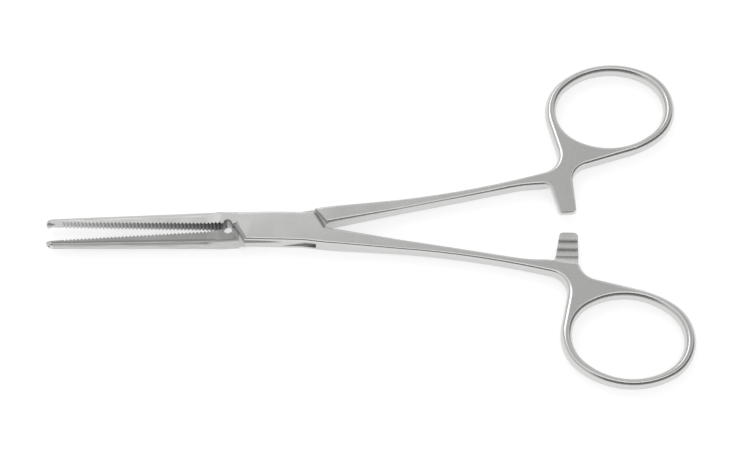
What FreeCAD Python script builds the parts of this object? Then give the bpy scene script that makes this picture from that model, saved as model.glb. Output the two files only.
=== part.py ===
import FreeCAD, Part
import math
import os
from FreeCAD import Placement, Rotation, Vector

# Haemostatic forceps with a box lock, a three-step ratchet and two finger rings, in millimetres.
# The frame has its origin on the axis of the lock pin, in the plane of the lock's underside.
# +X runs to the finger rings, the jaws lie along -X and +Z is up.
# Both halves are drawn with the jaws closed, about the plane halfway up the lock,
# with the jaw on the +Y side and the ring on the -Y side. The tang half is then turned over.

doc = FreeCAD.newDocument("haemostatic_forceps")
sheet = doc.addObject("Spreadsheet::Sheet", "Sizes")

SIZES = [
    # Jaws, measured from the pin
    ("jaw_length", 58.0),
    ("jaw_root_reach", 14.8),
    ("jaw_taper_length", 3.2),
    ("jaw_tip_width", 1.35),
    ("jaw_root_width", 3.75),
    ("jaw_tip_thickness", 2.9),
    ("jaw_root_thickness", 4.2),
    ("jaw_gap_at_lock", 0.5),
    ("jaw_tip_closure", 0.36),
    ("jaw_tip_clearance", 0.02),
    ("nose_length", 2.2),
    ("nose_height", 1.15),
    ("serration_pitch", 0.925),
    ("serration_depth", 0.42),
    ("serration_start", 14.2),
    ("serration_length", 40.2),
    ("tooth_length", 2.6),
    ("tooth_reach", 0.85),
    ("tooth_width", 0.8),
    ("tooth_clearance", 0.15),
    # Box lock
    ("lock_half_width", 3.9),
    ("lock_thickness", 5.4),
    ("slot_thickness", 2.5),
    ("tang_clearance", 0.03),
    ("wall_jaw_length", 9.25),
    ("wall_shank_length", 10.05),
    ("wall_angle", 32.0),
    ("wall_chamfer", 0.85),
    ("wall_chamfer_depth", 0.55),
    ("slot_half_length", 10.3),
    ("slot_angle", 29.5),
    ("slot_end_clearance", 0.1),
    ("shoulder_half_length", 10.13),
    ("shoulder_angle", 36.0),
    ("crotch_radius", 1.1),
    ("crotch_reach", 12.6),
    ("pin_diameter", 3.0),
    ("pin_clearance", 0.03),
    # Shanks: straight from the lock, then bent gently outwards to the ratchet arm
    ("shank_start", 12.0),
    ("shank_ramp_start", 3.0),
    ("shank_straight", 18.0),
    ("shank_width", 4.35),
    ("shank_inner_start", 0.15),
    ("shank_inner_slope", 7.75),
    ("shank_outer_slope", 3.4),
    ("shank_end_width", 3.0),
    ("shank_end_before_arm", 4.3),
    ("knee_before_arm", 7.5),
    ("knee_length", 3.0),
    ("handle_thickness", 4.1),
    # Ratchet arm and its ridges
    ("arm_reach", 69.3),
    ("arm_width", 5.6),
    ("arm_lean", 10.0),
    ("arm_root", 7.2),
    ("arm_foot_radius", 2.0),
    ("arm_tip_radius", 1.1),
    ("arm_overlap", 0.95),
    ("ridge_pitch", 2.285),
    ("ridge_height", 0.8),
    ("ratchet_clearance", 0.21),
    ("ratchet_length", 9.15),
    # Finger ring: an oval opening in an oval outline
    ("ring_beyond_arm", 11.7),
    ("ring_below_arm", 20.25),
    ("ring_length", 27.6),
    ("ring_width", 21.2),
    ("ring_end_bar", 2.9),
    ("ring_side_bar", 2.45),
    ("ring_tilt", 3.2),
    ("web_slope", 12.5),
    ("web_lean", 78.5),
    ("web_radius", 5.0),
    # Rounded edges
    ("lock_edge", 0.55),
    ("shank_edge", 0.75),
    ("ratchet_edge", 0.4),
    ("ring_edge", 1.15),
    ("lock_edge_height", 0.75),
    ("handle_edge_height", 1.2),
    ("jaw_tip_edge", 0.95),
    ("jaw_root_edge", 1.5),
    # Angle between the halves as the forceps lies
    ("rest_opening", 5.0),
]
for row, (alias, value) in enumerate(SIZES, start=1):
    sheet.set("A%d" % row, alias)
    sheet.set("B%d" % row, str(value))
    sheet.setAlias("B%d" % row, alias)
doc.recompute()
size = {alias: float(sheet.get(alias)) for alias, _ in SIZES}

X_AXIS = Vector(1, 0, 0)
Z_AXIS = Vector(0, 0, 1)


def polar(length, degrees):
    """The point at a distance and a direction from the pin."""
    turn = math.radians(degrees)
    return Vector(length * math.cos(turn), length * math.sin(turn), 0)


def crossing(point, direction, other, other_direction):
    """The crossing of two lines, each given by a point and a direction."""
    span = other - point
    scale = direction.x * other_direction.y - direction.y * other_direction.x
    return point + direction * ((span.x * other_direction.y - span.y * other_direction.x) / scale)


def corner_arc(corner, arriving, leaving, radius):
    """The start, middle and end of the arc that rounds a corner of the outline."""
    turn = math.acos(arriving.dot(leaving))
    back = radius * math.tan(turn / 2)
    inward = (leaving - arriving).normalize()
    middle = corner + inward * (radius / math.cos(turn / 2) - radius)
    return corner - arriving * back, middle, corner + leaving * back


def rounded_path(start, corners, end):
    """Lines from start to end through corners, each corner given with its radius."""
    points = [start] + [corner for corner, _ in corners] + [end]
    path = []
    last = start
    for index, (corner, radius) in enumerate(corners, start=1):
        arriving = (corner - points[index - 1]).normalize()
        leaving = (points[index + 1] - corner).normalize()
        first, middle, final = corner_arc(corner, arriving, leaving, radius)
        path.append(Part.LineSegment(last, first))
        path.append(Part.Arc(first, middle, final))
        last = final
    path.append(Part.LineSegment(last, end))
    return path


def polygon(points):
    """Straight sides through the points and back to the first."""
    corners = [Vector(x, y, 0) for x, y in points]
    return [Part.LineSegment(a, b) for a, b in zip(corners, corners[1:] + corners[:1])]


class Oval:
    """A four-centred oval: two end arcs and two flatter side arcs that meet in tangents."""

    def __init__(self, half_length, half_width, end_radius):
        reach = size["arm_reach"] + size["arm_width"] + size["ring_beyond_arm"]
        self.centre = Vector(reach, -size["arm_root"] - size["ring_below_arm"], 0)
        self.turn = Rotation(Z_AXIS, -size["ring_tilt"])
        rise = half_length - end_radius
        side_radius = (rise**2 + half_width**2 - end_radius**2) / (2 * (half_width - end_radius))
        drop = side_radius - half_width
        self.joint = math.degrees(math.atan2(drop, rise))
        self.arcs = {
            "right": (rise, 0, end_radius),
            "left": (-rise, 0, end_radius),
            "top": (0, -drop, side_radius),
            "bottom": (0, drop, side_radius),
        }

    def point(self, arc, degrees):
        across, along, radius = self.arcs[arc]
        local = Vector(across, along, 0) + polar(radius, degrees)
        return self.centre + self.turn.multVec(local)

    def arc(self, arc, start, end):
        return Part.Arc(self.point(arc, start), self.point(arc, (start + end) / 2), self.point(arc, end))

    def facing(self, direction):
        """The direction of travel along the frame, as an angle about the oval's own centre."""
        return direction + size["ring_tilt"] + 90

    def curves(self):
        joint = self.joint
        return [
            self.arc("right", -joint, joint),
            self.arc("top", joint, 180 - joint),
            self.arc("left", 180 - joint, 180 + joint),
            self.arc("bottom", 180 + joint, 360 - joint),
        ]


END_ROUNDNESS = 0.425


def finger_oval(growth):
    """The finger opening, grown on all sides."""
    return Oval(
        size["ring_length"] / 2 + growth,
        size["ring_width"] / 2 + growth,
        END_ROUNDNESS * size["ring_width"] + growth,
    )


rim_oval = Oval(
    size["ring_length"] / 2 + size["ring_end_bar"],
    size["ring_width"] / 2 + size["ring_side_bar"],
    END_ROUNDNESS * size["ring_width"] + size["ring_side_bar"],
)


def add_sketch(name, curves, placement=Placement()):
    sketch = doc.addObject("Sketcher::SketchObject", name)
    sketch.addGeometry(curves)
    sketch.Placement = placement
    return sketch


def extrude(name, sketch, length, start="0"):
    """A prism on a sketch, between two distances along its normal given as sheet expressions."""
    prism = doc.addObject("Part::Extrusion", name)
    prism.Base = sketch
    prism.DirMode = "Normal"
    prism.Solid = True
    prism.setExpression("LengthFwd", length)
    prism.setExpression("LengthRev", start)
    return prism


def cut(name, base, tool):
    result = doc.addObject("Part::Cut", name)
    result.Base = base
    result.Tool = tool
    result.recompute(True)
    if result.Shape.Volume > base.Shape.Volume - 1e-4:
        raise ValueError("%s removed nothing" % name)
    return result


def fuse(name, base, tool):
    result = doc.addObject("Part::Fuse", name)
    result.Base = base
    result.Tool = tool
    result.recompute(True)
    return result


def crest(reach):
    """Height of the serrated face: the tips meet first, so it leans away towards the lock."""
    start, end = size["crotch_reach"], size["jaw_length"]
    share = (reach - start) / (end - start)
    return size["jaw_gap_at_lock"] / 2 * (1 - share) - size["jaw_tip_closure"] / 2 * share


def jaw_back(reach):
    """Height of the jaw's outer side, straight from the lock to the nose."""
    start, end = size["jaw_root_reach"], size["jaw_length"]
    tip = crest(end) + size["jaw_tip_width"]
    root = crest(start) + size["jaw_root_width"]
    return root + (tip - root) * (reach - start) / (end - start)


# Shank lines shared by the front of a half and its handle

lock_half = size["lock_thickness"] / 2
handle_half = size["handle_thickness"] / 2
bend_reach = size["shank_start"] + size["shank_straight"]
inner_line = polar(1, -size["shank_inner_slope"])
outer_line = polar(1, -size["shank_outer_slope"])
inner_start = Vector(size["shank_start"], -size["shank_inner_start"], 0)
outer_start = Vector(size["shank_start"], -size["shank_inner_start"] - size["shank_width"], 0)
inner_bend = crossing(inner_start, inner_line, Vector(bend_reach, 0, 0), Vector(0, 1, 0))
outer_bend = crossing(outer_start, outer_line, Vector(bend_reach, 0, 0), Vector(0, 1, 0))


def tangent_arc(start, direction, end):
    """The arc that leaves start along a direction and passes through end."""
    chord = end - start
    turn = math.atan2(direction.x * chord.y - direction.y * chord.x, direction.dot(chord))
    side = Vector(chord.y, -chord.x, 0)
    middle = (start + end) / 2 + side * (math.tan(turn / 2) / 2)
    return Part.Arc(start, middle, end)


# Handle: bent shank, ratchet arm, web and ring, as one plate with rounded edges

def shank_arc_to_knee():
    """The inner side of the bent shank, up to where it starts to level out at the knee."""
    knee = Vector(size["arm_reach"] - size["knee_before_arm"], -size["arm_root"], 0)
    whole = tangent_arc(inner_bend, inner_line, knee)
    share = 1 - size["knee_length"] / inner_bend.distanceToPoint(knee)
    start = whole.parameter(inner_bend)
    span = whole.parameter(knee) - start
    end = whole.value(start + span * share)
    return Part.Arc(inner_bend, whole.value(start + span * share / 2), end)


def direction_at(curve, end):
    """The direction in which a curve arrives at its end."""
    tangent = curve.tangent(curve.parameter(end))[0]
    return tangent if tangent.x > 0 else tangent * -1


def handle_outline():
    """The plate's outline from the inner bend round arm and ring to the outer bend."""
    root_level = Vector(0, -size["arm_root"], 0)
    inner_arc = shank_arc_to_knee()
    inner_end = inner_arc.EndPoint
    arriving = direction_at(inner_arc, inner_end)
    knee = crossing(inner_end, arriving, root_level, X_AXIS)
    knee_reach = 0.9 * inner_end.distanceToPoint(knee)
    knee_radius = knee_reach / math.tan(math.acos(arriving.x) / 2)

    arm_line = polar(1, 90 - size["arm_lean"])
    arm_foot = Vector(size["arm_reach"], -size["arm_root"] + 1.7, 0)
    arm_tip = Vector(0, size["arm_overlap"], 0)
    arm_edge = Vector(size["arm_reach"] + size["arm_width"], 0, 0)
    down = Vector(0, -1, 0)
    web_line = polar(1, -size["web_slope"])
    web_end = rim_oval.point("top", rim_oval.facing(-size["web_slope"]))
    inner_corners = [
        (knee, knee_radius),
        (crossing(root_level, X_AXIS, arm_foot, arm_line), size["arm_foot_radius"]),
        (crossing(arm_foot, arm_line, arm_tip, X_AXIS), size["arm_tip_radius"]),
        (crossing(arm_tip, X_AXIS, arm_edge, down), size["arm_tip_radius"]),
        (crossing(arm_edge, down, web_end, web_line), size["web_radius"]),
    ]

    outer_end = Vector(size["arm_reach"] - size["shank_end_before_arm"],
                       -size["arm_root"] - size["shank_end_width"], 0)
    outer_arc = tangent_arc(outer_bend, outer_line, outer_end)
    web_side = polar(1, size["web_lean"])
    web_start = rim_oval.point("left", rim_oval.facing(size["web_lean"]))
    web_corner = crossing(outer_end, direction_at(outer_arc, outer_end), web_start, web_side)

    joint = rim_oval.joint
    curves = [inner_arc]
    curves += rounded_path(inner_end, inner_corners, web_end)
    curves += [
        rim_oval.arc("top", rim_oval.facing(-size["web_slope"]), joint),
        rim_oval.arc("right", joint, -joint),
        rim_oval.arc("bottom", 360 - joint, 180 + joint),
        rim_oval.arc("left", 180 + joint, rim_oval.facing(size["web_lean"])),
    ]
    curves += rounded_path(web_start, [(web_corner, size["web_radius"])], outer_end)
    curves.append(outer_arc)
    return curves


def edge_width(point):
    """How far the rounded edge reaches in from the outline: narrow on the arm, wide on the ring."""
    above_root = point.y + size["arm_root"]
    if point.x < bend_reach + 1:
        return size["lock_edge"]
    if above_root > 0.8 and point.x > size["arm_reach"] - 2:
        return size["ratchet_edge"]
    if above_root > -size["shank_end_width"] - 2.5:
        return size["shank_edge"]
    return size["ring_edge"]


def inset_ends(curve, backwards):
    """The ends and middle of an outline curve with their inward normals, in order of travel."""
    first, last = curve.FirstParameter, curve.LastParameter
    stations = [first, (first + last) / 2, last]
    if backwards:
        stations.reverse()
    rows = []
    for station in stations:
        tangent = curve.tangent(station)[0]
        if backwards:
            tangent = tangent * -1
        rows.append((curve.value(station), Vector(tangent.y, -tangent.x, 0)))
    return rows


def inset_outline(curves, share):
    """The outline moved in by a share of the edge width at each place; both ends stay at the bend."""
    edges = []
    last_point = inner_bend
    for curve in curves:
        start = curve.value(curve.FirstParameter)
        rows = inset_ends(curve, start.distanceToPoint(last_point) > 1e-4)
        last_point = rows[2][0]
        widths = [edge_width(rows[0][0]), 0, edge_width(rows[2][0])]
        widths[1] = (widths[0] + widths[2]) / 2
        moved = [point + normal * (share * width) for (point, normal), width in zip(rows, widths)]
        for end, line in ((0, inner_line), (2, outer_line)):
            if abs(rows[end][0].x - bend_reach) < 1e-4:
                moved[end] += line * ((bend_reach - moved[end].x) / line.x)
        straight = isinstance(curve, Part.LineSegment)
        edges.append(Part.LineSegment(moved[0], moved[2]) if straight else Part.Arc(*moved))
    return edges


EDGE_STEPS = 4


def rounded_levels(half_height, edge_height):
    """Heights and inward shares of a rounded edge drawn as flats, from the underside to the top."""
    turns = [math.radians(90 * step / EDGE_STEPS) for step in range(EDGE_STEPS + 1)]
    upper = [(half_height - edge_height * (1 - math.sin(turn)), 1 - math.cos(turn)) for turn in turns]
    lower = [(-height, share) for height, share in reversed(upper)]
    return lower + upper


def loft_through(name, sections):
    """A solid with straight sides between closed sections at rising heights."""
    loft = doc.addObject("Part::Loft", name)
    loft.Sections = sections
    loft.Solid = True
    loft.Ruled = True
    return loft


def handle_plate():
    curves = handle_outline()
    sections = []
    for level, (height, share) in enumerate(rounded_levels(handle_half, size["handle_edge_height"])):
        edges = inset_outline(curves, share)
        edges.append(Part.LineSegment(edges[-1].EndPoint, edges[0].StartPoint))
        level_plane = Placement(Vector(0, 0, height), Rotation())
        sections.append(add_sketch("handle_level%d" % level, edges, level_plane))
    return loft_through("handle_plate", sections)


def finger_opening():
    """The oval opening, flared at both faces by the ring's rounded inner edge."""
    sections = []
    levels = rounded_levels(handle_half, size["handle_edge_height"])
    beyond = [(-handle_half - 1, 1.0)] + levels + [(handle_half + 1, 1.0)]
    for level, (height, share) in enumerate(beyond):
        oval = finger_oval(share * size["ring_edge"])
        level_plane = Placement(Vector(0, 0, height), Rotation())
        sections.append(add_sketch("opening_level%d" % level, oval.curves(), level_plane))
    return loft_through("finger_opening", sections)


# Front of a half: jaw, lock and straight shank are bars lofted through sections square to the length

def bar_section(name, reach, low, high, half_height, low_edge, high_edge, edge_height):
    """A section across a bar with rounded corners; a side whose edge is nought keeps sharp corners."""
    levels = rounded_levels(half_height, edge_height)
    points = [(high - share * high_edge, height) for height, share in levels]
    if low_edge:
        points += [(low + share * low_edge, height) for height, share in reversed(levels)]
    else:
        points += [(low, half_height), (low, -half_height)]
    upright = Placement(Vector(reach, 0, 0), Rotation(Vector(0, 1, 0), Z_AXIS, X_AXIS, "XZY"))
    return add_sketch(name, polygon(points), upright)


def jaw_section(name, reach, half_height, edge, edge_height):
    return bar_section(name, -reach, crest(reach), jaw_back(reach), half_height, 0, edge, edge_height)


def jaw():
    """The jaw tapers from its root to the tip and swells into the lock over a short ramp."""
    root = size["jaw_root_reach"]
    tip_edge = size["jaw_tip_edge"]
    root_edge = size["jaw_root_edge"]
    sections = [
        jaw_section("jaw_tip", size["jaw_length"] + size["nose_length"], size["jaw_tip_thickness"] / 2,
                    tip_edge, tip_edge),
        jaw_section("jaw_middle", root + size["jaw_taper_length"], size["jaw_root_thickness"] / 2,
                    root_edge, root_edge),
        jaw_section("jaw_root", root, lock_half, size["lock_edge"], size["lock_edge_height"]),
    ]
    return loft_through("jaw", sections)


def shank_section(name, reach, half_height, edge_height):
    low = outer_start.y + (reach - outer_start.x) * outer_line.y / outer_line.x
    high = inner_start.y + (reach - inner_start.x) * inner_line.y / inner_line.x
    low_edge = size["lock_edge"] / outer_line.x
    high_edge = size["lock_edge"] / inner_line.x
    return bar_section(name, reach, low, high, half_height, low_edge, high_edge, edge_height)


def shank():
    """The straight run of shank thins from the lock to the handle."""
    start = size["shank_start"]
    sections = [
        shank_section("shank_root", start, lock_half, size["lock_edge_height"]),
        shank_section("shank_ramp", start + size["shank_ramp_start"], lock_half, size["lock_edge_height"]),
        shank_section("shank_bend", bend_reach, handle_half, size["handle_edge_height"]),
    ]
    return loft_through("shank", sections)


def lock_block():
    """The lock's body, from jaw root to shank, before its ends are cut on the slant."""
    edge = size["lock_edge"]
    side = -size["lock_half_width"]
    top = jaw_back(size["jaw_root_reach"])
    stations = [
        ("lock_left", -size["jaw_root_reach"], side),
        ("lock_flare", size["shank_start"] / 2, side),
        ("lock_right", size["shank_start"], outer_start.y),
    ]
    sections = [bar_section(name, reach, low, top, lock_half, edge, edge, size["lock_edge_height"])
                for name, reach, low in stations]
    return loft_through("lock_block", sections)


def corner_waste(name, end, end_length, end_angle):
    """The corner of the lock block beyond a slanted line: the crotch side or the shank side."""
    normal = polar(end, end_angle)
    slant = Vector(normal.y, -normal.x, 0)
    if end < 0:
        inside = Vector(0, crest(size["crotch_reach"]), 0)
        along = X_AXIS
    else:
        inside, along = inner_start, inner_line
    line = normal * end_length
    corner = crossing(line, slant, inside, along)
    beyond = crossing(inside, along, Vector(20 * end, 0, 0), Vector(0, 1, 0))
    outer = crossing(line, slant, Vector(0, 6 * end, 0), X_AXIS)
    points = [(corner.x, corner.y), (beyond.x, beyond.y), (beyond.x, 6 * end), (outer.x, outer.y)]
    sketch = add_sketch(name + "_sketch", polygon(points))
    return extrude(name, sketch, "Sizes.lock_thickness", "Sizes.lock_thickness")


opening = finger_opening()
handle = handle_plate()
jaw_blank = jaw()
shank_blank = shank()
lock_blank = lock_block()


def join(name, pieces):
    joined = doc.addObject("Part::MultiFuse", name)
    joined.Shapes = pieces
    joined.recompute(True)
    return joined


def blank(name, jaw_end, shank_end, end_angle):
    corners = [
        corner_waste(name + "_crotch_corner", -1, jaw_end, end_angle),
        corner_waste(name + "_shank_corner", 1, shank_end, end_angle),
    ]
    lock = cut(name + "_lock", lock_blank, join(name + "_corners", corners))
    return join(name + "_blank", [jaw_blank, lock, shank_blank, handle])


box_blank = blank("box", size["wall_jaw_length"], size["wall_shank_length"], size["wall_angle"])
tang_length = size["slot_half_length"] - size["slot_end_clearance"]
tang_blank = blank("tang", tang_length, tang_length, size["slot_angle"])


# Jaw tips: one tooth on the box half drops between two on the tang half

def nose_cutter():
    """Everything outside the rounded nose."""
    tip = -size["jaw_length"]
    back = tip + size["nose_length"]
    face = crest(size["jaw_length"])
    low = Vector(tip, face, 0)
    middle = Vector(tip + 0.2 * size["nose_length"], face + 0.62 * size["nose_height"], 0)
    high = Vector(back, jaw_back(-back), 0)
    outside = [
        Part.Arc(low, middle, high),
        Part.LineSegment(high, Vector(back, 5, 0)),
        Part.LineSegment(Vector(back, 5, 0), Vector(tip - 8, 5, 0)),
        Part.LineSegment(Vector(tip - 8, 5, 0), Vector(tip - 8, -5, 0)),
        Part.LineSegment(Vector(tip - 8, -5, 0), Vector(tip, -5, 0)),
        Part.LineSegment(Vector(tip, -5, 0), low),
    ]
    return extrude("nose", add_sketch("nose_sketch", outside), "10", "10")


def tooth_outline(grow, side):
    """The tooth in plan, grown by a clearance; side -1 points it down and 1 up."""
    tip = -size["jaw_length"]
    root = tip + size["tooth_length"] + 1.6 * grow
    reach = size["tooth_reach"] + grow
    return [
        (tip + 0.08 - 2 * grow, -0.3 * side),
        (tip + 0.35 - 2 * grow, reach * side),
        (tip + 0.85 + grow, reach * side),
        (root, (crest(-root) * -1) * side - 0.3 * side),
    ]


def groove_count(shift):
    return int(size["serration_length"] / size["serration_pitch"] - shift)


def groove_reach(groove, shift):
    return size["serration_start"] + (groove + 0.5 + shift) * size["serration_pitch"]


def tip_land():
    """The plain landing behind the teeth, milled down so that the two tips just meet."""
    land = doc.addObject("Part::Box", "tip_land")
    land.Length = 20
    land.Width = 5
    land.Height = 20
    start = groove_reach(groove_count(0) - 1, 0)
    land.Placement.Base = Vector(-start - 20, size["jaw_tip_clearance"] - 5, -10)
    return land


nose = nose_cutter()
land = tip_land()
tooth_sketch = add_sketch("tooth_sketch", polygon(tooth_outline(0, -1)))
tooth = extrude("tooth", tooth_sketch, "Sizes.tooth_width / 2", "Sizes.tooth_width / 2")
notch_width = "Sizes.tooth_width / 2 + Sizes.tooth_clearance"
notch_sketch = add_sketch("notch_sketch", polygon(tooth_outline(size["tooth_clearance"], 1)))
notch = extrude("notch", notch_sketch, notch_width, notch_width)


# Serrations: straight grooves across the whole gripping face

def serrations(name, shift):
    """A comb of V grooves; the two halves differ by half a pitch, so ridges face grooves."""
    depth = size["serration_depth"]
    skin = 0.02
    points = []
    for groove in range(groove_count(shift)):
        reach = groove_reach(groove, shift)
        face = crest(reach)
        points.append((-reach + depth + skin, face - skin))
        points.append((-reach, face + depth))
        points.append((-reach - depth - skin, face - skin))
    last = points[-1][0]
    points += [(last, -2.0), (points[0][0], -2.0)]
    return extrude(name, add_sketch(name + "_sketch", polygon(points)), "10", "10")


# Box lock

def slanted_block(name, half_length, angle, height, base):
    """A long block across the lock, its ends square to a slanted line through the pin."""
    block = doc.addObject("Part::Box", name)
    block.setExpression("Length", "2 * Sizes." + half_length)
    block.Width = 60
    block.setExpression("Height", height)
    turn = Rotation(Vector(0, 0, 1), angle)
    block.Placement = Placement(turn.multVec(Vector(-size[half_length], -30, 0)) + Vector(0, 0, base), turn)
    return block


def pin_cylinder(name, radius, height):
    pin = doc.addObject("Part::Cylinder", name)
    pin.setExpression("Radius", radius)
    pin.setExpression("Height", height)
    pin.Placement.Base.z = -lock_half
    return pin


def wall_chamfer(name, end, side):
    """The wedge that bevels one slanted wall end, from its inner corner outwards, on one flat side."""
    wide = size["wall_chamfer"]
    deep = size["wall_chamfer_depth"]
    normal = polar(end, size["wall_angle"])
    outward = Vector(-normal.y, normal.x, 0)
    corner = Vector(size["shank_start"], -size["shank_inner_start"], 0)
    if end < 0:
        corner = Vector(0, crest(size["crotch_reach"]), 0)
    length = size["wall_shank_length"] if end > 0 else size["wall_jaw_length"]
    start = crossing(normal * length, outward, corner, X_AXIS)
    turn = Rotation(normal, Vector(0, 0, -1), outward, "XZY")
    height = -side * lock_half
    wedge = [(-wide, height), (wide, height), (wide, height + side * 2 * deep)]
    sketch = add_sketch(name + "_sketch", polygon(wedge), Placement(start, turn))
    return extrude(name, sketch, "20")


slot = slanted_block("slot", "slot_half_length", -size["slot_angle"], "Sizes.slot_thickness",
                            -size["slot_thickness"] / 2)
tang_half = size["slot_thickness"] / 2 - size["tang_clearance"]
recess_above = slanted_block("recess_above", "shoulder_half_length", -size["shoulder_angle"], "20", tang_half)
recess_below = slanted_block("recess_below", "shoulder_half_length", -size["shoulder_angle"], "20",
                             -tang_half - 20)
crotch = doc.addObject("Part::Cylinder", "crotch")
crotch.setExpression("Radius", "Sizes.crotch_radius")
crotch.Height = 20
crotch.Placement.Base = Vector(-size["crotch_reach"], crest(size["crotch_reach"]), -10)


# Ratchet: three ridges with steep faces away from the tip, on the half thickness of the arm

def ratchet_waste():
    """What is milled off the arm: a stepped plan and a saw-toothed floor, kept where they meet."""
    far_right = size["arm_reach"] + size["arm_width"] + 5
    left = size["arm_reach"] - 3.1
    step = size["arm_overlap"] - size["ratchet_length"]
    tip = size["arm_overlap"] + 1
    plan = [
        Part.Arc(Vector(left, step + 1.1, 0), Vector(left + 3.8, step + 0.05, 0), Vector(far_right, step - 0.3, 0)),
        Part.LineSegment(Vector(far_right, step - 0.3, 0), Vector(far_right, tip, 0)),
        Part.LineSegment(Vector(far_right, tip, 0), Vector(left, tip, 0)),
        Part.LineSegment(Vector(left, tip, 0), Vector(left, step + 1.1, 0)),
    ]
    plan_prism = extrude("ratchet_plan", add_sketch("ratchet_plan_sketch", plan), "10", "10")

    # With the jaws closed the two arms overlap and leave the named clearance between their ramps
    pitch = size["ridge_pitch"]
    rise = size["ridge_height"]
    overlap = size["arm_overlap"]
    run = pitch - 0.1
    low = -(size["ratchet_clearance"] + 2 * overlap * rise / run) / 2
    saw = [(tip, low - rise * (tip - overlap) / run)]
    for ridge in range(3):
        crest_y = overlap - run - ridge * pitch
        saw.append((crest_y, low + rise))
        saw.append((crest_y - 0.1, low))
    saw += [(step - 3, low), (step - 3, 10), (tip, 10)]
    upright = Placement(Vector(left - 6, 0, 0), Rotation(Vector(0, 1, 0), Z_AXIS, X_AXIS, "XZY"))
    floor_prism = extrude("ratchet_floor", add_sketch("ratchet_floor_sketch", polygon(saw), upright), "30")
    waste = doc.addObject("Part::Common", "ratchet_waste")
    waste.Base = plan_prism
    waste.Tool = floor_prism
    return waste


ratchet = ratchet_waste()


# Halves

bevels = [wall_chamfer("bevel_%d_%d" % (end + 1, side + 1), end, side) for end in (1, -1) for side in (1, -1)]
pin_hole = pin_cylinder("pin_hole", "Sizes.pin_diameter / 2", "Sizes.lock_thickness")
pin_bore = pin_cylinder("pin_bore", "Sizes.pin_diameter / 2 + Sizes.pin_clearance", "Sizes.lock_thickness")
shared_cuts = [nose, land, crotch, ratchet, opening]

box_tools = join("box_cutters", shared_cuts + [serrations("box_serrations", 0.0), slot, pin_hole] + bevels)
box_half = fuse("box_half", cut("box_cut", box_blank, box_tools), tooth)

tang_tools = join("tang_cutters", shared_cuts + [serrations("tang_serrations", 0.5), notch, recess_above,
                                                   recess_below, pin_bore])
tang_half_body = cut("tang_half", tang_blank, tang_tools)

lock_pin = pin_cylinder("lock_pin", "Sizes.pin_diameter / 2", "Sizes.lock_thickness")

# Resting pose: the box half turned one way and the tang half, turned over, the other way

lift = Vector(0, 0, size["lock_thickness"] / 2)
half_turn = size["rest_opening"] / 2
box_half.Placement = Placement(lift, Rotation(Z_AXIS, -half_turn))
tang_half_body.Placement = Placement(lift, Rotation(Z_AXIS, half_turn) * Rotation(X_AXIS, 180))
lock_pin.Placement = Placement(lift - Z_AXIS * lock_half, Rotation())
box_half.Label = "box_half"
tang_half_body.Label = "tang_half"
lock_pin.Label = "lock_pin"
doc.recompute()

# Every object and every piece is checked before anything is written

for item in doc.Objects:
    if "Invalid" in item.State or "Error" in item.State:
        raise ValueError("%s failed" % item.Name)

os.makedirs("parts", exist_ok=True)
for piece in (box_half, tang_half_body, lock_pin):
    shape = piece.Shape
    if shape.isNull() or not shape.isValid() or len(shape.Solids) != 1:
        raise ValueError("%s is not one valid solid" % piece.Label)
    shape.exportStep("parts/%s.step" % piece.Label)
    print(piece.Label, round(shape.Volume, 1), shape.BoundBox)
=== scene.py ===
import math

import bmesh
import bpy
import numpy as np
from mathutils import Matrix, Vector


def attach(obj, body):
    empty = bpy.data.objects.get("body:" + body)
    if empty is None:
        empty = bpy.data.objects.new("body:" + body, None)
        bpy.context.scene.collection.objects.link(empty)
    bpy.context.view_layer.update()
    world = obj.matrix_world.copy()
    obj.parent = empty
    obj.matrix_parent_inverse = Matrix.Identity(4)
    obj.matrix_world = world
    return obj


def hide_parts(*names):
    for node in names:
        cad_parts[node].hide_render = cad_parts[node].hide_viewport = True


bl_info = {
    "name": "Haemostatic Forceps",
    "version": (1, 0, 0),
    "blender": (4, 5, 0),
    "location": "3D Viewport > Sidebar > Forceps",
    "description": "Finishes box-lock forceps in satin and polished steel on a pale floor",
    "category": "Object",
}

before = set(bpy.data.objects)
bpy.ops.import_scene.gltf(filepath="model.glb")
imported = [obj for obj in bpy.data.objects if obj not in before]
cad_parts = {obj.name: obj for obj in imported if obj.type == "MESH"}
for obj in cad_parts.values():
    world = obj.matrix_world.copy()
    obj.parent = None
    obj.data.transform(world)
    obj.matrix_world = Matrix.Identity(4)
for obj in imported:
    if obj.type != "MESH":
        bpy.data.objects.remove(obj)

# Places on the forceps, in metres: the height of its middle, half the thickness of a handle, where
# ratchet and rings begin, the end and the reach of the ratchet's ridges, where the jaws part,
# where their flat sides end, and how far the lock goes either way from the pin

MID_PLANE, HANDLE_HALF, HANDLE_FROM = 0.0027, 0.00205, 0.066
RIDGES_TO, RIDGES_REACH = 0.077, 0.0114
CROTCH, JAW_FLAT_END, LOCK_END = -0.0128, -0.0093, 0.0135

# Finger ring: a tilted oval, and the stretch of its outside that the web joins

RING_CENTRE = (0.08532, 0.0312)
RING_TILT = math.radians(5.7)
RING_HALF_LENGTH, RING_HALF_WIDTH = 0.01525, 0.01183
RING_NEAREST, RING_FARTHEST = 0.8, 1.2
BAR_HALF_WIDTH, BAR_HALF_HEIGHT, BAR_POWER = 0.001225, 0.00207, 1.9
BAR_LEVELS = (-0.0005, 0.0, 0.0005)
EDGE_WIDTH, EDGE_HEIGHT = 0.00115, 0.0012
WEB_FROM, WEB_TO, WEB_FADE = math.radians(80.7), math.radians(171.7), math.radians(14)

# Nose of a jaw: how far back it is rounded, and the share of its height left at the very tip

JAW_TIP, NOSE_LENGTH, NOSE_END = -0.05785, 0.0018, 0.35
NOSE_LEVELS = (0.0001, 0.0003, 0.0006, 0.001, 0.0014, 0.0018)

# Root of a jaw: where its outer side is drawn in along the jaw and across it, and by how much

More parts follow.
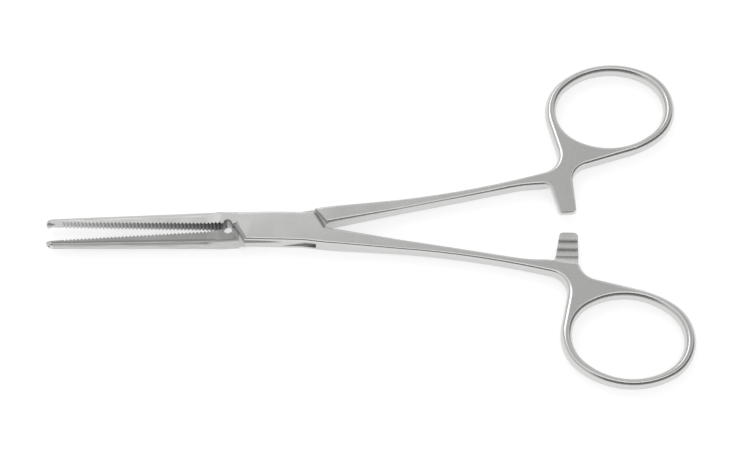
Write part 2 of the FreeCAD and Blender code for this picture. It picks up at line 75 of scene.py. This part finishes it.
ROOT_FROM, ROOT_FULL, ROOT_HOLD, ROOT_TO = -0.0185, -0.0148, -0.0125, 0.0
ROOT_INNER, ROOT_OUTER, ROOT_DRAW = 0.0022, 0.0034, 0.00045
ROOT_LEVELS = (-0.0172, -0.016, -0.0136, -0.0125, -0.011, -0.0095,
               -0.008, -0.0065, -0.005, -0.0035, -0.002, 0.0)
SLANT_FROM, SLANT_TO = -0.0136, -0.0126

# Patterns in the steel, in metres. Real grit and streaks are too fine to show, so that every
# pattern is drawn as coarse as it needs to show.

CLOUD_WIDTH = 1 / 140    # 7.1 mm
SMEAR_WIDTH = 1 / 500    # 2.0 mm
WAVE_WIDTH = 1 / 260     # 3.8 mm
GRIT_WIDTH = 1 / 3000    # 0.33 mm
STREAK_LENGTH = 1 / 150  # 6.7 mm
STREAK_WIDTH = 1 / 1800  # 0.56 mm

# Finishes, in the order in which each half lists them

# The last finish is the satin steel in a darker colour: painted shade on the flat of the tang
# half's jaw
SATIN, POLISHED, GROUND, BUFFED, FILED, SHADED_COARSE = range(6)

# Studio

FLOOR_REACH, FLOOR_GLOW, WORLD_STRENGTH = 1.2, 0.64, 0.85
WALL_RADIUS, WALL_FOOT, WALL_TOP, WALL_SIDES = 0.95, 0.02, 1.45, 96
DARK_SIDE, DARK_FROM, DARK_FULL = math.radians(-50), 0.15, 0.6
PALE_WALL, WALL_FOOT_GLOW = 0.74, 0.3
LAMPS_AIM = (0.02, 0, 0)
LENS, LOOK_AT = 112.0, (0.02165, 0.00078, 0.0027)


def linear(hex_colour):
    """An sRGB hex colour as linear red, green, blue and alpha."""
    channels = [int(hex_colour[i:i + 2], 16) / 255 for i in (1, 3, 5)]
    return [c / 12.92 if c <= 0.04045 else ((c + 0.055) / 1.055) ** 2.4 for c in channels] + [1.0]


def add_node(tree, kind, links=None, **settings):
    """Add a shader node, set its properties or socket values, and link sources to its inputs."""
    node = tree.nodes.new(kind)
    for name, value in settings.items():
        if name in node.inputs:
            node.inputs[name].default_value = value
        else:
            setattr(node, name, value)
    for socket, source in (links or {}).items():
        tree.links.new(source, node.inputs[socket])
    return node


def cleared_tree(owner):
    """The node tree of a material or a world, with nothing in it yet."""
    owner.use_nodes = True
    owner.node_tree.nodes.clear()
    return owner.node_tree


class ForcepsFinish(bpy.types.PropertyGroup):
    satin_colour: bpy.props.FloatVectorProperty(
        name="Satin steel", description="Colour of the blasted flat sides",
        subtype="COLOR", size=4, default=linear("#a9a9a8"))
    polished_colour: bpy.props.FloatVectorProperty(
        name="Polished steel", description="Colour of the polished edges and bars",
        subtype="COLOR", size=4, default=linear("#d2d2d1"))
    filed_colour: bpy.props.FloatVectorProperty(
        name="Filed steel", description="Colour of the ratchet ridges",
        subtype="COLOR", size=4, default=linear("#cfcfce"))
    # A darker satin colour: painted shade on the flat of the tang half's jaw
    shaded_coarse_colour: bpy.props.FloatVectorProperty(
        name="Shaded coarse steel", description="Colour of the flat of the tang half's jaw",
        subtype="COLOR", size=4, default=linear("#868685"))
    satin_roughness: bpy.props.FloatProperty(
        name="Satin roughness", description="Roughness of the flat sides",
        default=0.38, min=0.0, max=1.0, subtype="FACTOR")
    polished_roughness: bpy.props.FloatProperty(
        name="Polished roughness", description="Roughness of the rounded edges",
        default=0.18, min=0.0, max=1.0, subtype="FACTOR")
    filed_roughness: bpy.props.FloatProperty(
        name="Filed roughness", description="Roughness of the ratchet ridges",
        default=0.5, min=0.0, max=1.0, subtype="FACTOR")
    shaded_coarse_roughness: bpy.props.FloatProperty(
        name="Coarse roughness", description="Roughness of the flat of the tang half's jaw",
        default=0.42, min=0.0, max=1.0, subtype="FACTOR")
    grain_pitch: bpy.props.FloatProperty(
        name="Grain pitch",
        description="Spacing of the satin grain; drawn a little coarse so that it shows",
        default=0.00015, unit="LENGTH")
    broken_edge: bpy.props.FloatProperty(
        name="Broken edge",
        description="Width of the small flat that deburring leaves on each sharp edge",
        default=0.00004, unit="LENGTH")
    crisp_angle: bpy.props.FloatProperty(
        name="Crisp angle", description="Faces that meet at more than this keep a crisp edge",
        default=math.radians(33), subtype="ANGLE")


def satin_steel(name, colour, roughness, grain_pitch):
    """Bead-blasted stainless steel: an even grey that spreads the light and shows a fine tooth."""
    material = bpy.data.materials.new(name)
    tree = cleared_tree(material)
    place = add_node(tree, "ShaderNodeTexCoord").outputs["Object"]
    grain = add_node(tree, "ShaderNodeTexNoise", {"Vector": place},
                     Detail=2.0, Scale=0.5 / grain_pitch)
    clouds = add_node(tree, "ShaderNodeTexNoise", {"Vector": place},
                      Detail=3.0, Scale=1 / CLOUD_WIDTH)
    fine = add_node(tree, "ShaderNodeMapRange", {"Value": grain.outputs[0]},
                    **{"From Min": 0.3, "From Max": 0.7, "To Min": 0.9, "To Max": 1.08})
    broad = add_node(tree, "ShaderNodeMapRange", {"Value": clouds.outputs[0]},
                     **{"From Min": 0.3, "From Max": 0.7,
                        "To Min": roughness - 0.05, "To Max": roughness + 0.05})
    tint = add_node(tree, "ShaderNodeVectorMath", {"Scale": fine.outputs[0]}, operation="SCALE")
    tint.inputs[0].default_value = colour[:3]
    bump = add_node(tree, "ShaderNodeBump", {"Height": grain.outputs[0]},
                    Strength=0.15, Distance=0.00002)
    shader = add_node(tree, "ShaderNodeBsdfPrincipled",
                      {"Base Color": tint.outputs[0], "Roughness": broad.outputs[0],
                       "Normal": bump.outputs[0]}, Metallic=1.0)
    add_node(tree, "ShaderNodeOutputMaterial", {"Surface": shader.outputs[0]})
    return material


def polished_steel(finish):
    """Wheel-polished stainless steel: clear light and dark streaks, wavy where the wheel dwelt."""
    material = bpy.data.materials.new("polished_stainless_steel")
    tree = cleared_tree(material)
    place = add_node(tree, "ShaderNodeTexCoord").outputs["Object"]
    smears = add_node(tree, "ShaderNodeTexNoise", {"Vector": place},
                      Detail=2.0, Scale=1 / SMEAR_WIDTH)
    rough = add_node(tree, "ShaderNodeMapRange", {"Value": smears.outputs[0]},
                     **{"To Min": finish.polished_roughness - 0.05,
                        "To Max": finish.polished_roughness + 0.05})
    waves = add_node(tree, "ShaderNodeTexNoise", {"Vector": place},
                     Detail=1.0, Scale=1 / WAVE_WIDTH)
    bump = add_node(tree, "ShaderNodeBump", {"Height": waves.outputs[0]},
                    Strength=0.25, Distance=0.00006)
    shader = add_node(tree, "ShaderNodeBsdfPrincipled",
                      {"Roughness": rough.outputs[0], "Normal": bump.outputs[0]},
                      Metallic=1.0, **{"Base Color": finish.polished_colour})
    add_node(tree, "ShaderNodeOutputMaterial", {"Surface": shader.outputs[0]})
    return material


def buffed_steel(finish):
    """Buffed stainless steel of the jaws' outer sides: pale, with soft streaks along the jaw."""
    material = bpy.data.materials.new("buffed_stainless_steel")
    tree = cleared_tree(material)
    place = add_node(tree, "ShaderNodeTexCoord").outputs["Object"]
    stretched = add_node(tree, "ShaderNodeMapping", {"Vector": place},
                         Scale=(1 / STREAK_LENGTH, 1 / STREAK_WIDTH, 1 / STREAK_WIDTH))
    streaks = add_node(tree, "ShaderNodeTexNoise", {"Vector": stretched.outputs[0]},
                       Detail=3.0, Scale=1.0)
    rough = add_node(tree, "ShaderNodeMapRange", {"Value": streaks.outputs[0]},
                     **{"From Min": 0.35, "From Max": 0.65, "To Min": 0.4, "To Max": 0.7})
    bump = add_node(tree, "ShaderNodeBump", {"Height": streaks.outputs[0]},
                    Strength=0.4, Distance=0.00008)
    shader = add_node(tree, "ShaderNodeBsdfPrincipled",
                      {"Roughness": rough.outputs[0], "Normal": bump.outputs[0]},
                      Metallic=1.0, **{"Base Color": finish.polished_colour})
    add_node(tree, "ShaderNodeOutputMaterial", {"Surface": shader.outputs[0]})
    return material


def ground_steel():
    """Ground stainless steel of the serrations, darker towards the lock: painted shade where the
    other jaw hides them, paler towards the nose.
    """
    material = bpy.data.materials.new("ground_shaded_stainless_steel")
    tree = cleared_tree(material)
    place = add_node(tree, "ShaderNodeTexCoord").outputs["Object"]
    grit = add_node(tree, "ShaderNodeTexNoise", {"Vector": place},
                    Detail=1.0, Scale=1 / GRIT_WIDTH)
    rough = add_node(tree, "ShaderNodeMapRange", {"Value": grit.outputs[0]},
                     **{"To Min": 0.25, "To Max": 0.4})
    along = add_node(tree, "ShaderNodeSeparateXYZ", {0: place})
    # Base colour darkens from the nose to the crotch: painted shade where the other jaw hides the
    # serrations
    shade_towards_lock = add_node(tree, "ShaderNodeMapRange", {"Value": along.outputs["X"]},
                    **{"From Min": -0.055, "From Max": CROTCH, "To Min": 0.62, "To Max": 0.12})
    shader = add_node(tree, "ShaderNodeBsdfPrincipled",
                      {"Roughness": rough.outputs[0], "Base Color": shade_towards_lock.outputs[0]}, Metallic=1.0)
    add_node(tree, "ShaderNodeOutputMaterial", {"Surface": shader.outputs[0]})
    return material


def add_levels(shell, belongs, planes, axis):
    """Cut the faces that belong wherever a plane square to the axis crosses them.

    The planes stand at the given places along the axis, and the shape can then bend at each cut.
    """
    normal = [float(number == axis) for number in range(3)]
    for place in planes:
        region = dict.fromkeys(face for face in shell.faces if belongs(face))
        for face in list(region):
            region.update(dict.fromkeys([*face.edges, *face.verts]))
        bmesh.ops.bisect_plane(shell, geom=list(region), dist=1e-7,
                               plane_co=[share * place for share in normal], plane_no=normal)


def bar_inset(height):
    """How far a bar's side stands in at a height from its middle: nearly an ellipse."""
    share = np.clip(height / BAR_HALF_HEIGHT, 0, 1)
    return BAR_HALF_WIDTH * (1 - (1 - share ** BAR_POWER) ** (1 / BAR_POWER))


def edge_inset(height):
    """How far the plain rounded edge stands in: nought on the wall, then a quarter ellipse."""
    sine = np.clip(1 - (HANDLE_HALF - height) / EDGE_HEIGHT, 0, 1)
    return EDGE_WIDTH * (1 - np.sqrt(1 - sine ** 2))


def round_the_ring(points, side):
    """Turn the finger ring's flat-walled bar into a fully rounded one.

    Every point moves along the oval's own normal towards the middle of the bar, by the difference
    between a rounded bar and a plain rounded edge at its height. Where the web joins the ring, the
    outer side stays as it is.
    """
    across = points[:, 0] - RING_CENTRE[0]
    along = RING_CENTRE[1] - points[:, 1] * side
    cosine, sine = math.cos(RING_TILT), math.sin(RING_TILT)
    u, v = across * cosine - along * sine, across * sine + along * cosine
    reach = np.hypot(u / RING_HALF_LENGTH, v / RING_HALF_WIDTH)
    normal_u, normal_v = u / RING_HALF_LENGTH ** 2, v / RING_HALF_WIDTH ** 2
    length = np.hypot(normal_u, normal_v) + 1e-12  # never nought
    height = np.abs(points[:, 2] - MID_PLANE)
    shift = bar_inset(height) - edge_inset(height)
    shift[height > HANDLE_HALF - 1e-6] = 0  # the top and the underside stay flat
    turn = np.mod(np.arctan2(v, u), 2 * math.pi)
    into_web = np.minimum(turn - WEB_FROM, WEB_TO - turn) / WEB_FADE
    outside = reach > 1
    shift *= np.where(outside, -np.clip(-into_web, 0, 1), 1)
    shift *= (reach > RING_NEAREST) & (reach < RING_FARTHEST)
    u, v = u + normal_u / length * shift, v + normal_v / length * shift
    points[:, 0] = RING_CENTRE[0] + u * cosine + v * sine
    points[:, 1] = (RING_CENTRE[1] - v * cosine + u * sine) * side


def round_the_nose(points):
    """Draw the jaw's nose in towards its mid-plane, so that the tip is a small rounded bulb.

    Every point's height from the mid-plane shrinks with its way to the tip, by the height of an
    ellipse whose middle lies where the nose begins, down to a blunt end.
    """
    share = np.clip((points[:, 0] - JAW_TIP) / NOSE_LENGTH, 0, 1)
    height = NOSE_END + (1 - NOSE_END) * np.sqrt(1 - (1 - share) ** 2)
    points[:, 2] = MID_PLANE + (points[:, 2] - MID_PLANE) * height


def slim_the_root(points, side):
    """Draw in the outer side where the jaw grows out of the lock, so that both run on in one line.

    The points of that side move towards the middle by a smooth hump, which rises from nought on
    the jaw to its full height at the root and falls back to nought beside the pin. Points farther
    in move less, down to nothing at the inner side. Towards the lock they slide along the slant
    of its end faces too, so that slot and tang still clear each other when the jaws shut.
    """
    x, y = points[:, 0], points[:, 1] * side
    rise = np.clip((x - ROOT_FROM) / (ROOT_FULL - ROOT_FROM), 0, 1)
    fall = np.clip((ROOT_TO - x) / (ROOT_TO - ROOT_HOLD), 0, 1)
    hump = rise ** 2 * (3 - 2 * rise) * fall ** 2 * (3 - 2 * fall)
    depth = np.clip((y - ROOT_INNER) / (ROOT_OUTER - ROOT_INNER), 0, 1)
    draw = ROOT_DRAW * hump * depth
    points[:, 1] -= side * draw
    points[:, 0] -= draw * np.clip((x - SLANT_FROM) / (SLANT_TO - SLANT_FROM), 0, 1)


def rows_of_three(elements, name):
    """A property of every point or face as rows of three numbers."""
    values = np.empty(len(elements) * 3)
    elements.foreach_get(name, values)
    return values.reshape(-1, 3)


def shaped_mesh(node, ring_side):
    """A merged copy of a half's mesh with its ring and nose rounded and its jaw root slimmed.

    Points within a micrometre of each other become one, and faces within 0.3 degrees of each
    other become one flat face. The parts to be shaped get more levels, and then their points move.
    """
    mesh = node.data.copy()
    mesh.materials.clear()
    shell = bmesh.new()
    shell.from_mesh(mesh)
    bmesh.ops.remove_doubles(shell, verts=shell.verts, dist=1e-6)
    bmesh.ops.dissolve_limit(shell, angle_limit=math.radians(0.3), verts=shell.verts,
                             edges=shell.edges)
    root_side = -ring_side
    add_levels(shell, lambda face: face.calc_center_median().x > HANDLE_FROM,
               [MID_PLANE + level for level in BAR_LEVELS], axis=2)
    add_levels(shell, lambda face: True, [JAW_TIP + level for level in NOSE_LEVELS], axis=0)
    add_levels(shell, lambda face: max(v.co.y * root_side for v in face.verts) > ROOT_INNER,
               ROOT_LEVELS, axis=0)
    shell.to_mesh(mesh)
    shell.free()
    points = rows_of_three(mesh.vertices, "co")
    round_the_ring(points, ring_side)
    round_the_nose(points)
    slim_the_root(points, root_side)
    mesh.vertices.foreach_set("co", points.ravel())
    mesh.update()
    return mesh


def finish_of_faces(mesh, ring_side):
    """The finish of every face, by its place on the half and the way it faces.

    Each way is one for a face that looks straight up or down, along the forceps, across it or
    towards the other half, and nought for one that looks at right angles to that.
    """
    normal, centre = rows_of_three(mesh.polygons, "normal"), rows_of_three(mesh.polygons, "center")
    x, y = centre[:, 0], centre[:, 1]
    lengthwise, sideways, upright = np.abs(normal).T
    inwards = -normal[:, 1] * np.sign(y)
    flat_side = upright > 0.985
    jaw_ramp = (x < 0) & (upright > 0.97) & (sideways < 0.08)
    wall_bevel = (np.abs(x) < LOCK_END) & (upright > 0.8) & (lengthwise > 0.15)
    ridges = (x > HANDLE_FROM) & (x < RIDGES_TO) & (np.abs(y) < RIDGES_REACH) & (upright > 0.5)
    facing_other_jaw = (x < CROTCH) & (upright < 0.2) & (inwards > 0.3)
    finish = np.full(len(x), POLISHED, dtype=np.int32)
    finish[x < JAW_FLAT_END] = BUFFED
    finish[facing_other_jaw] = GROUND
    finish[flat_side | jaw_ramp | wall_bevel] = SATIN
    finish[ridges] = FILED
    if ring_side > 0:
        # The flat of the tang half's jaw takes the darker steel: painted shade
        finish[(x < JAW_FLAT_END) & (upright > 0.9)] = SHADED_COARSE
    finish[(x < JAW_TIP + NOSE_LENGTH) & (upright < 0.97)] = POLISHED
    return finish


class FORCEPS_OT_finish_halves(bpy.types.Operator):
    """Give both halves their round rings and noses, and every face its finish."""
    bl_idname = "forceps.finish_halves"
    bl_label = "Finish Halves"

    def execute(self, context):
        finish = context.scene.forceps_finish
        steels = {
            SATIN: satin_steel("satin_stainless_steel", finish.satin_colour,
                               finish.satin_roughness, finish.grain_pitch),
            POLISHED: polished_steel(finish),
            GROUND: ground_steel(),
            BUFFED: buffed_steel(finish),
            # Pale ratchet ridges that stand out from the bars
            FILED: satin_steel("filed_stainless_steel", finish.filed_colour,
                               finish.filed_roughness, finish.grain_pitch),
            # Painted shade: the satin steel in a darker colour, and a little rougher, on the flat
            # of the jaw that carries the tang
            SHADED_COARSE: satin_steel("shaded_coarse_stainless_steel", finish.shaded_coarse_colour,
                                finish.shaded_coarse_roughness, finish.grain_pitch),
        }
        for node, ring_side in (("box_half", -1), ("tang_half", 1)):
            mesh = shaped_mesh(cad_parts[node], ring_side)
            for kind in sorted(steels):
                mesh.materials.append(steels[kind])
            mesh.shade_smooth()
            mesh.set_sharp_from_angle(angle=finish.crisp_angle)
            mesh.polygons.foreach_set("material_index", finish_of_faces(mesh, ring_side))
            piece = bpy.data.objects.new(node + "_steel", mesh)
            context.scene.collection.objects.link(piece)
            broken = piece.modifiers.new("broken_edges", "BEVEL")
            broken.width = finish.broken_edge
            broken.segments = 2
            broken.limit_method = "ANGLE"
            broken.angle_limit = finish.crisp_angle
            flow = piece.modifiers.new("flowing_normals", "WEIGHTED_NORMAL")
            flow.weight = 50
            flow.keep_sharp = True
            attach(piece, node)
            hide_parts(node)
        return {"FINISHED"}


class FORCEPS_OT_finish_pin(bpy.types.Operator):
    """Give the lock pin the satin of the lock that it is ground flush with."""
    bl_idname = "forceps.finish_pin"
    bl_label = "Finish Pin"

    def execute(self, context):
        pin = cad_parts["lock_pin"]
        pin.data.materials.clear()
        pin.data.materials.append(bpy.data.materials["satin_stainless_steel"])
        return {"FINISHED"}


class ForcepsStage(bpy.types.PropertyGroup):
    floor_colour: bpy.props.FloatVectorProperty(
        name="Floor", description="Colour of the pale floor",
        subtype="COLOR", size=4, default=linear("#b4b4b4"))
    camera_distance: bpy.props.FloatProperty(
        name="Camera distance", description="From the camera to the point it looks at",
        default=0.5684, unit="LENGTH")
    camera_elevation: bpy.props.FloatProperty(
        name="Camera elevation", description="Height of the view above the floor",
        default=math.radians(66.0), subtype="ANGLE")
    camera_azimuth: bpy.props.FloatProperty(
        name="Camera azimuth", description="Turn of the view round the object",
        default=math.radians(-3.93), subtype="ANGLE")
    camera_roll: bpy.props.FloatProperty(
        name="Camera roll", description="Turn of the picture about the line of sight",
        default=math.radians(2.44), subtype="ANGLE")


def seen_directly(tree):
    """One for what the eye sees, plain, mirrored or through glass, and nought for filling light."""
    path = add_node(tree, "ShaderNodeLightPath").outputs
    either = add_node(tree, "ShaderNodeMath",
                      {0: path["Is Camera Ray"], 1: path["Is Glossy Ray"]}, operation="MAXIMUM")
    seen = add_node(tree, "ShaderNodeMath",
                    {0: either.outputs[0], 1: path["Is Transmission Ray"]}, operation="MAXIMUM")
    return seen.outputs[0]


def lay_floor(colour):
    """A white paper floor that keeps the shadow: part lit by the studio, part plain white."""
    r = FLOOR_REACH
    mesh = bpy.data.meshes.new("floor")
    mesh.from_pydata([(-r, -r, 0), (r, -r, 0), (r, r, 0), (-r, r, 0)], [], [(0, 1, 2, 3)])
    floor = bpy.data.objects.new("floor", mesh)
    bpy.context.scene.collection.objects.link(floor)
    paper = bpy.data.materials.new("white_paper_floor")
    tree = cleared_tree(paper)
    matt = add_node(tree, "ShaderNodeBsdfDiffuse", Color=colour)
    glow = add_node(tree, "ShaderNodeEmission", {"Strength": seen_directly(tree)},
                    Color=(FLOOR_GLOW, FLOOR_GLOW, FLOOR_GLOW, 1))
    both = add_node(tree, "ShaderNodeAddShader", {0: matt.outputs[0], 1: glow.outputs[0]})
    add_node(tree, "ShaderNodeOutputMaterial", {"Surface": both.outputs[0]})
    mesh.materials.append(paper)


def white_surroundings():
    """A world that is pure white to the eye and to reflections, and gives an even fill light."""
    world = bpy.data.worlds.new("studio")
    tree = cleared_tree(world)
    fill = add_node(tree, "ShaderNodeBackground", Color=(1, 1, 1, 1), Strength=WORLD_STRENGTH)
    white = add_node(tree, "ShaderNodeBackground", Color=(1, 1, 1, 1), Strength=1.0)
    mixed = add_node(tree, "ShaderNodeMixShader",
                     {0: seen_directly(tree), 1: fill.outputs[0], 2: white.outputs[0]})
    add_node(tree, "ShaderNodeOutputWorld", {"Surface": mixed.outputs[0]})
    bpy.context.scene.world = world


def studio_walls():
    """Walls that only reflections see: dark to one side and darkest at the top, pale elsewhere.

    The walls are a cylinder about the origin. Its columns of points go round by an equal angle,
    and its two rows stand at the foot and at the top. The dark share follows the cosine of the
    angle from the dark side.
    """
    turn = np.arange(WALL_SIDES) * (2 * math.pi / WALL_SIDES)
    ring = np.stack([np.cos(turn), np.sin(turn)], 1) * WALL_RADIUS
    points = np.concatenate([np.column_stack([ring, np.full(WALL_SIDES, height)])
                             for height in (WALL_FOOT, WALL_TOP)])
    index = np.arange(WALL_SIDES)
    after = (index + 1) % WALL_SIDES
    sides = np.stack([index, index + WALL_SIDES, after + WALL_SIDES, after], 1)
    mesh = bpy.data.meshes.new("studio_walls")
    mesh.from_pydata(points.tolist(), [], sides.tolist())
    walls = bpy.data.objects.new("studio_walls", mesh)
    bpy.context.scene.collection.objects.link(walls)
    walls.visible_camera = walls.visible_shadow = walls.visible_diffuse = False
    cloth = bpy.data.materials.new("grey_and_black_cloth")
    tree = cleared_tree(cloth)
    place = add_node(tree, "ShaderNodeTexCoord").outputs["Object"]
    towards_dark = add_node(tree, "ShaderNodeVectorMath", {0: place}, operation="DOT_PRODUCT")
    towards_dark.inputs[1].default_value = (math.cos(DARK_SIDE), math.sin(DARK_SIDE), 0)
    share = add_node(tree, "ShaderNodeMapRange", {"Value": towards_dark.outputs["Value"]},
                     interpolation_type="SMOOTHSTEP",
                     **{"From Min": WALL_RADIUS * DARK_FROM, "From Max": WALL_RADIUS * DARK_FULL})
    height = add_node(tree, "ShaderNodeSeparateXYZ", {0: place})
    black = add_node(tree, "ShaderNodeMapRange", {"Value": height.outputs["Z"]},
                     **{"From Min": WALL_FOOT, "From Max": WALL_TOP,
                        "To Min": WALL_FOOT_GLOW, "To Max": 0.0})
    strength = add_node(tree, "ShaderNodeMix", {"Factor": share.outputs[0], "B": black.outputs[0]},
                        A=PALE_WALL)
    glow = add_node(tree, "ShaderNodeEmission", {"Strength": strength.outputs[0]},
                    Color=(1, 1, 1, 1))
    add_node(tree, "ShaderNodeOutputMaterial", {"Surface": glow.outputs[0]})
    mesh.materials.append(cloth)


def area_lamp(name, place, size, power):
    """A soft rectangular lamp aimed at the lock's end of the forceps."""
    lamp = bpy.data.lights.new(name, "AREA")
    lamp.shape = "RECTANGLE"
    lamp.size, lamp.size_y = size
    lamp.energy = power
    holder = bpy.data.objects.new(name, lamp)
    aim = (Vector(LAMPS_AIM) - Vector(place)).to_track_quat("-Z", "Y")
    holder.matrix_world = Matrix.Translation(place) @ aim.to_matrix().to_4x4()
    bpy.context.scene.collection.objects.link(holder)


def aim_camera(stage):
    """A long lens at the given distance, elevation and azimuth from the point it looks at."""
    camera = bpy.data.cameras.new("camera")
    camera.lens = LENS
    holder = bpy.data.objects.new("camera", camera)
    bpy.context.scene.collection.objects.link(holder)
    azimuth, tilt, roll = stage.camera_azimuth, stage.camera_elevation, stage.camera_roll
    back = Vector((math.sin(azimuth) * math.cos(tilt), -math.cos(azimuth) * math.cos(tilt),
                   math.sin(tilt)))
    right = Vector((0, 0, 1)).cross(back).normalized()
    up = back.cross(right)
    turned_right = right * math.cos(roll) + up * math.sin(roll)
    turned_up = up * math.cos(roll) - right * math.sin(roll)
    axes = Matrix((turned_right, turned_up, back)).transposed().to_4x4()
    place = Vector(LOOK_AT) + back * stage.camera_distance
    holder.matrix_world = Matrix.Translation(place) @ axes
    bpy.context.scene.camera = holder


class FORCEPS_OT_build_stage(bpy.types.Operator):
    """Lay the pale floor and set the soft lamps, the white surroundings and the camera."""
    bl_idname = "forceps.build_stage"
    bl_label = "Build Stage"

    def execute(self, context):
        stage = context.scene.forceps_stage
        lay_floor(stage.floor_colour)
        white_surroundings()
        area_lamp("key_lamp", place=(-0.25, 0.45, 0.7), size=(0.6, 0.4), power=1.2)
        area_lamp("strip_lamp", place=(0.1, -0.5, 1.15), size=(1.2, 0.14), power=0.8)
        studio_walls()
        aim_camera(stage)
        context.scene.view_settings.view_transform = "Standard"
        return {"FINISHED"}


class FORCEPS_PT_panel(bpy.types.Panel):
    """Lists the settings and the operators that dress the forceps."""
    bl_label = "Forceps"
    bl_space_type = "VIEW_3D"
    bl_region_type = "UI"
    bl_category = "Forceps"

    def draw(self, context):
        for name in ForcepsFinish.__annotations__:
            self.layout.prop(context.scene.forceps_finish, name)
        self.layout.operator("forceps.finish_halves")
        self.layout.operator("forceps.finish_pin")
        for name in ForcepsStage.__annotations__:
            self.layout.prop(context.scene.forceps_stage, name)
        self.layout.operator("forceps.build_stage")


CLASSES = (ForcepsFinish, ForcepsStage, FORCEPS_OT_finish_halves, FORCEPS_OT_finish_pin,
           FORCEPS_OT_build_stage, FORCEPS_PT_panel)


def register():
    for cls in CLASSES:
        bpy.utils.register_class(cls)
    bpy.types.Scene.forceps_finish = bpy.props.PointerProperty(type=ForcepsFinish)
    bpy.types.Scene.forceps_stage = bpy.props.PointerProperty(type=ForcepsStage)


def unregister():
    del bpy.types.Scene.forceps_stage
    del bpy.types.Scene.forceps_finish
    for cls in reversed(CLASSES):
        bpy.utils.unregister_class(cls)


def main():
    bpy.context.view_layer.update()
    register()
    bpy.ops.forceps.finish_halves()
    bpy.ops.forceps.finish_pin()
    bpy.ops.forceps.build_stage()


if __name__ == "__main__":
    main()
